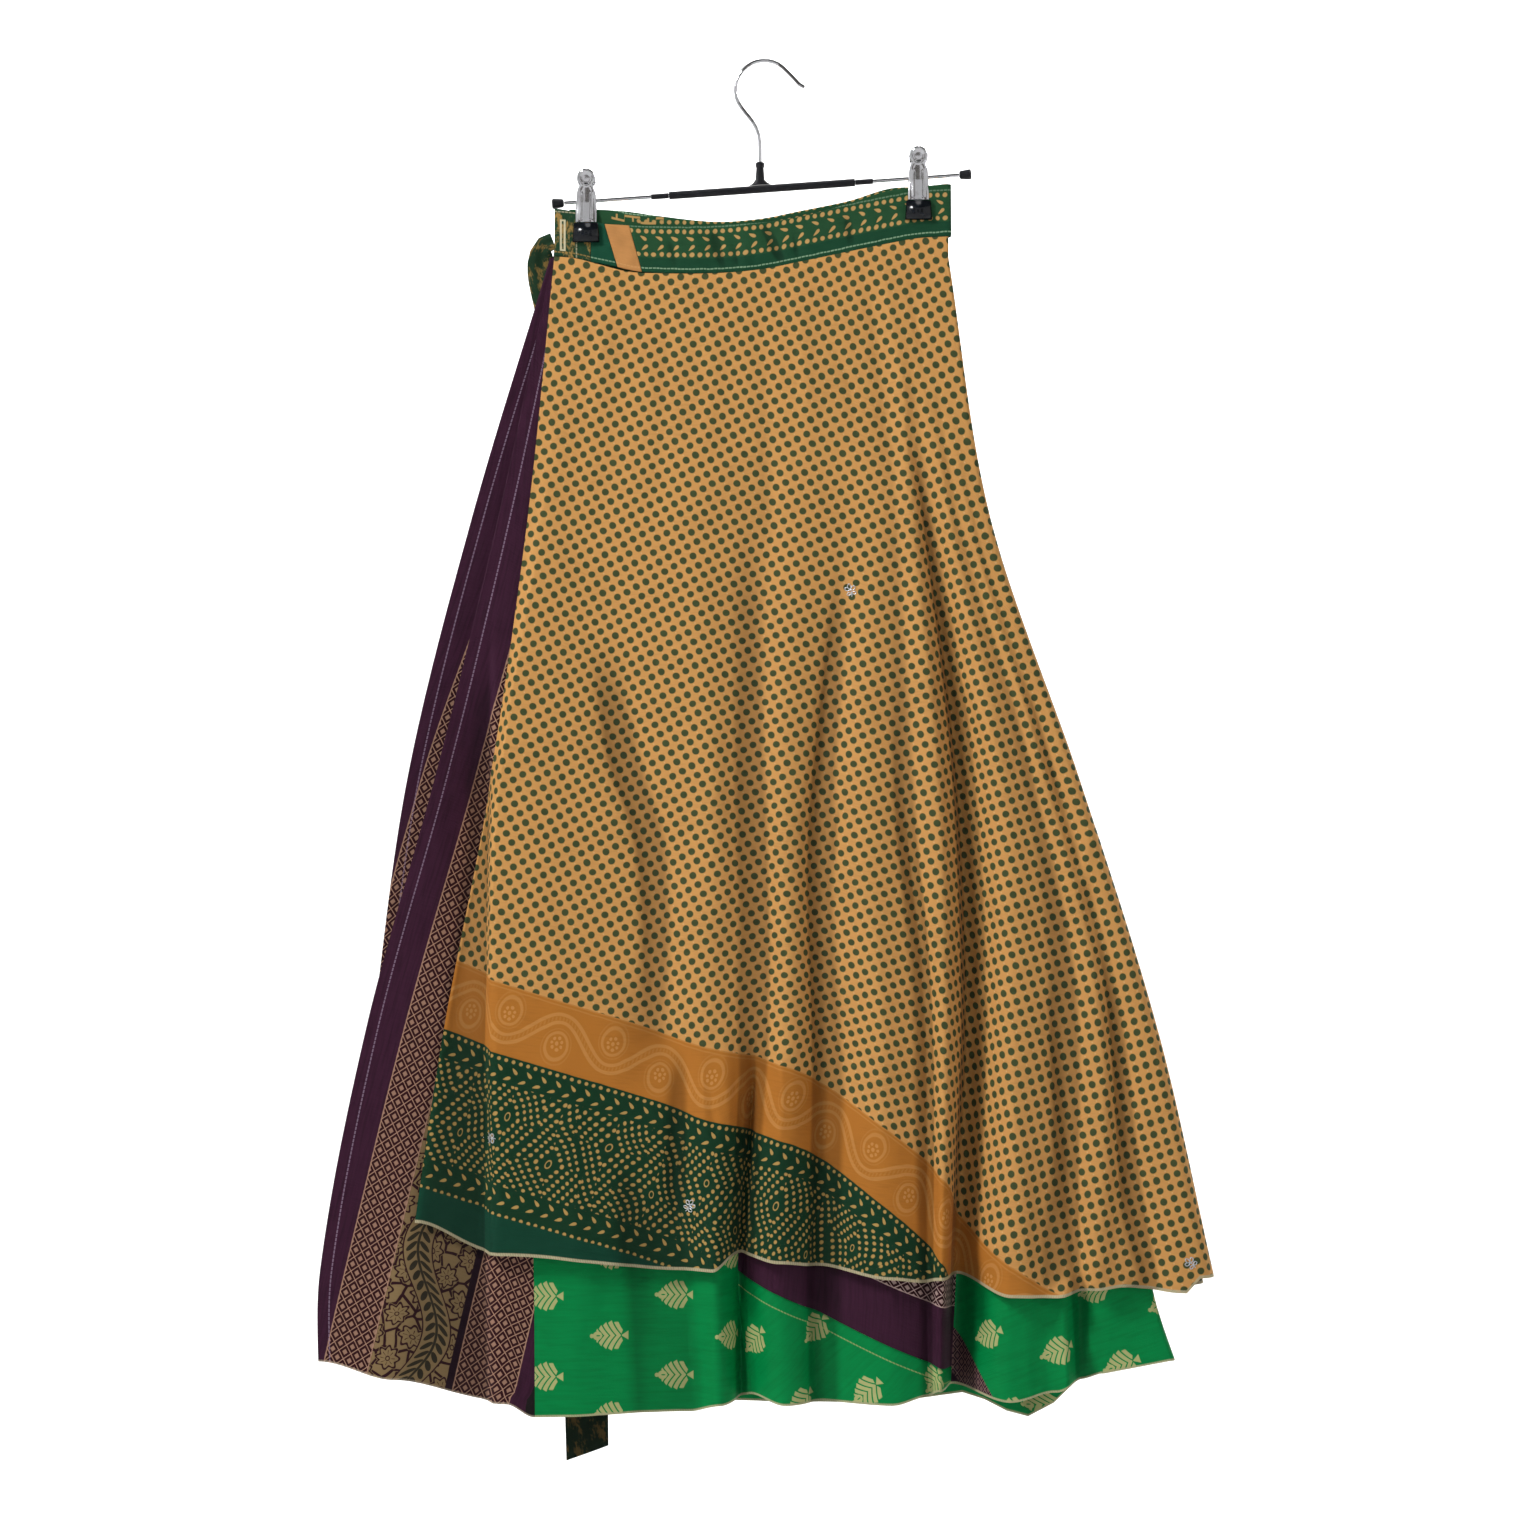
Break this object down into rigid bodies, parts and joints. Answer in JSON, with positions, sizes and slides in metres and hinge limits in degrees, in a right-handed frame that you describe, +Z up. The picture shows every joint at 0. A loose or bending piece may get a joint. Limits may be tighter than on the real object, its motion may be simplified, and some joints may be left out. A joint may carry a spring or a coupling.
{
  "type": "wrap skirt on a clip hanger",
  "caption": "Long flared wrap skirt in layered printed silk, folded flat and hung by its waistband from a slim metal clip hanger.",
  "frame": {"origin": "underside of the top of the hanger's hook, where it rests on a rail", "axes": "+Z up, +X to the right as seen from the front, +Y away from the viewer, along the rail"},
  "size_m": [0.6855, 0.1035, 1.0752],
  "materials": {
    "dotted_gold": "soft printed silk",
    "purple_brocade": "printed silk with a woven look",
    "green_silk": "smooth silk with leaf motifs",
    "mottled_green": "mottled printed silk",
    "plain_green": "plain silk",
    "orange_silk": "plain silk",
    "band_green": "printed silk",
    "chrome": "bright plated steel",
    "black_plastic": "moulded",
    "black_vinyl": "dipped vinyl"
  },
  "bodies": {
    "root": {"overlay_near": "dotted_gold", "overlay_inside": "dotted_gold", "overlay_far": "dotted_gold", "gore_purple_near": "purple_brocade", "gore_purple_far": "purple_brocade", "gore_wedge_purple": "purple_brocade", "gore_green_near": "green_silk", "gore_corner_green": "green_silk", "gore_green_right": "green_silk", "under_inside": "green_silk", "gore_green_far": "green_silk", "band_end_mottled": "mottled_green", "band_insert_green": "plain_green", "band_patch_orange": "orange_silk", "band_near": "band_green", "band_inside": "band_green", "band_far": "band_green", "tie_mottled": "mottled_green", "tie_plain": "plain_green", "hanger_hook": "chrome", "hanger_neck": "black_plastic", "hanger_bar": "black_plastic", "hanger_rod": "chrome", "sleeve_left": "black_plastic", "sleeve_right": "black_plastic", "cap_left": "black_plastic", "cap_right": "black_plastic", "clip_left_front_plate": "chrome", "clip_left_back_plate": "chrome", "clip_left_front_pad": "black_vinyl", "clip_left_back_pad": "black_vinyl", "clip_left_spring": "chrome", "clip_right_front_plate": "chrome", "clip_right_back_plate": "chrome", "clip_right_front_pad": "black_vinyl", "clip_right_back_pad": "black_vinyl", "clip_right_spring": "chrome"}
  },
  "joints": []
}
